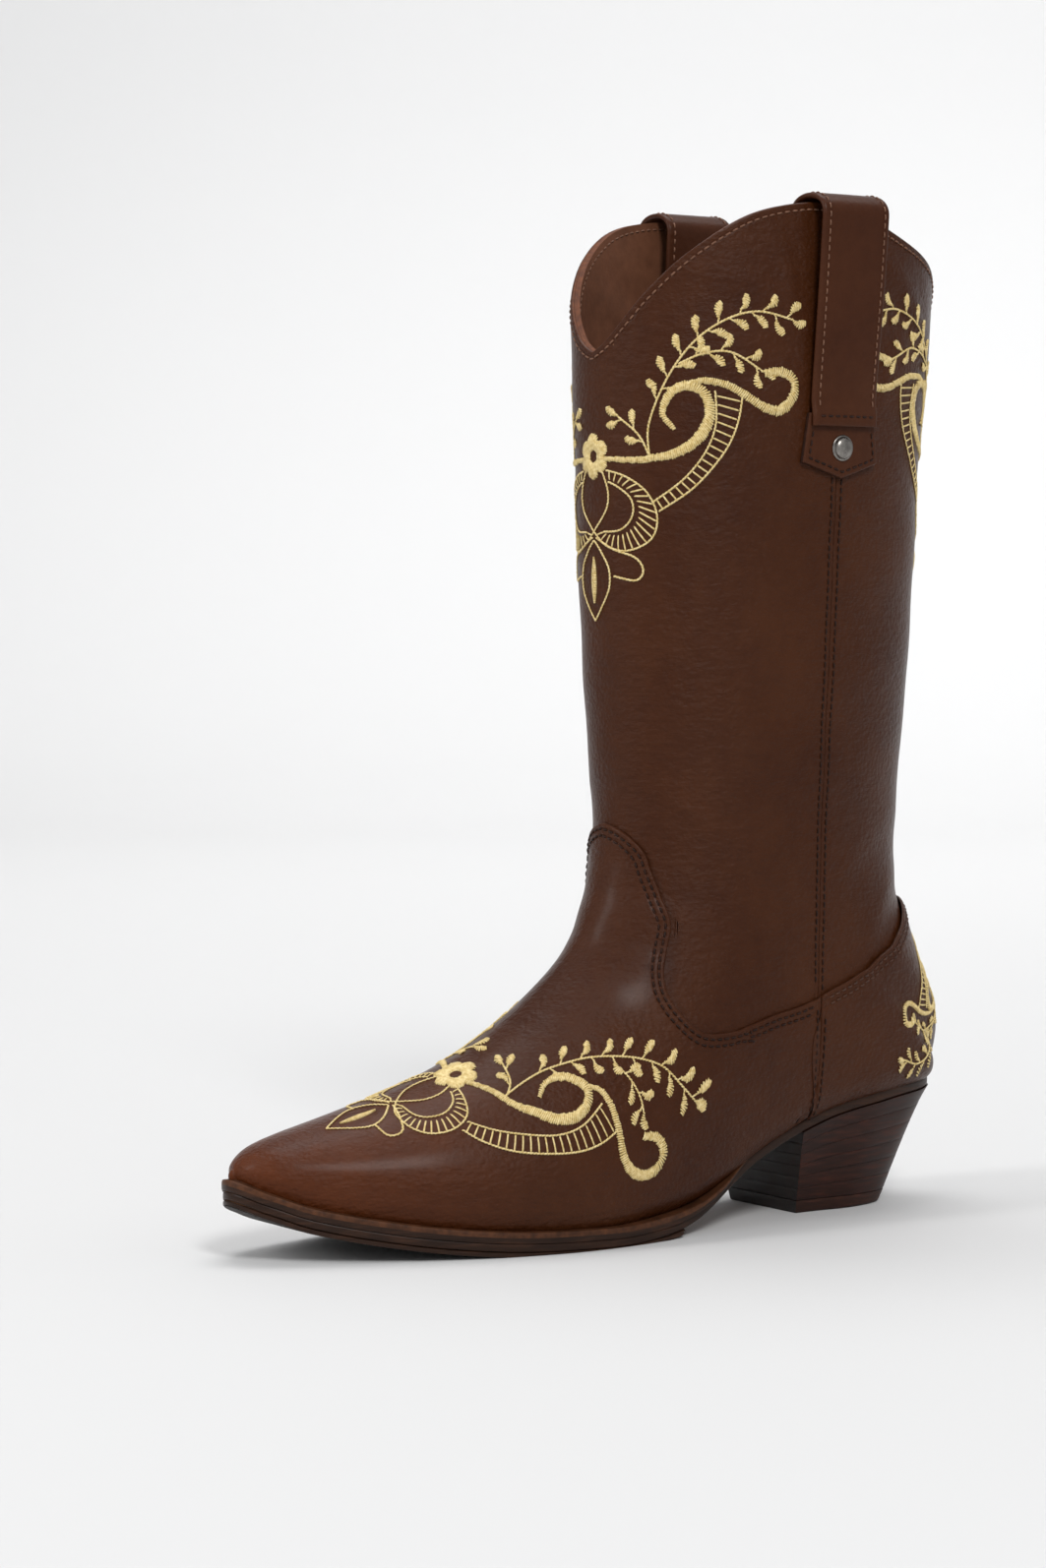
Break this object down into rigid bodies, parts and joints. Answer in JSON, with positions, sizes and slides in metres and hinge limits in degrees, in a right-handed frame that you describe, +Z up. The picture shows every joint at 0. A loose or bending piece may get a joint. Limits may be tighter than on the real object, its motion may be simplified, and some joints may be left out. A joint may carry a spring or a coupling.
{
  "type": "cowboy boot",
  "caption": "Left western boot: deep scalloped mid-calf shaft, side pull straps, pointed toe, welted leather sole and stacked underslung heel.",
  "frame": {"origin": "on the floor, under the middle of the boot's box", "axes": "toe towards -Y, heel towards +Y, +X to the outer (lateral) side of this left boot, +Z up the shaft"},
  "size_m": [0.1138, 0.3024, 0.3716],
  "materials": {
    "upper_leather": "satin",
    "lining_leather": "matte",
    "welt_leather": "satin",
    "sole_leather": "satin",
    "stacked_heel": "satin",
    "tread_rubber": "matte",
    "fibreboard": "matte",
    "cork": "matte",
    "steel": "satin",
    "stud_metal": "satin"
  },
  "bodies": {
    "root": {"vamp": "upper_leather", "heel_counter": "upper_leather", "shaft_front": "upper_leather", "shaft_back": "upper_leather", "strap_tab_outer_lateral": "upper_leather", "strap_tab_inner_lateral": "upper_leather", "strap_tab_outer_medial": "upper_leather", "strap_tab_inner_medial": "upper_leather", "vamp_lining": "lining_leather", "heel_lining": "lining_leather", "shaft_lining_front": "lining_leather", "shaft_lining_back": "lining_leather", "sock_lining": "lining_leather", "welt": "welt_leather", "outsole": "sole_leather", "half_sole": "tread_rubber", "heel_top_piece": "tread_rubber", "heel_lift_1": "stacked_heel", "heel_lift_2": "stacked_heel", "heel_lift_3": "stacked_heel", "heel_lift_4": "stacked_heel", "heel_lift_5": "stacked_heel", "heel_lift_6": "stacked_heel", "heel_nail_1": "steel", "heel_nail_2": "steel", "heel_nail_3": "steel", "heel_nail_4": "steel", "heel_nail_5": "steel", "shank": "steel", "toe_puff": "fibreboard", "heel_stiffener": "fibreboard", "insole_board": "fibreboard", "shank_board": "fibreboard", "cork_filler": "cork", "rivet_lateral": "stud_metal", "rivet_burr_lateral": "stud_metal", "rivet_medial": "stud_metal", "rivet_burr_medial": "stud_metal"},
    "strap_lateral": {"pull_strap_lateral": "upper_leather"},
    "strap_medial": {"pull_strap_medial": "upper_leather"}
  },
  "joints": [
    {"name": "pull_strap_lateral_sway", "type": "hinge", "parent": "root", "child": "strap_lateral", "pos_m": [0.04533, 0.07289, 0.292], "axis": [0, 1, 0], "range_deg": [-2.5, 2.5], "stiffness_Nm_per_rad": 0.3},
    {"name": "pull_strap_medial_sway", "type": "hinge", "parent": "root", "child": "strap_medial", "pos_m": [-0.04533, 0.07289, 0.292], "axis": [0, 1, 0], "range_deg": [-2.5, 2.5], "stiffness_Nm_per_rad": 0.3}
  ]
}
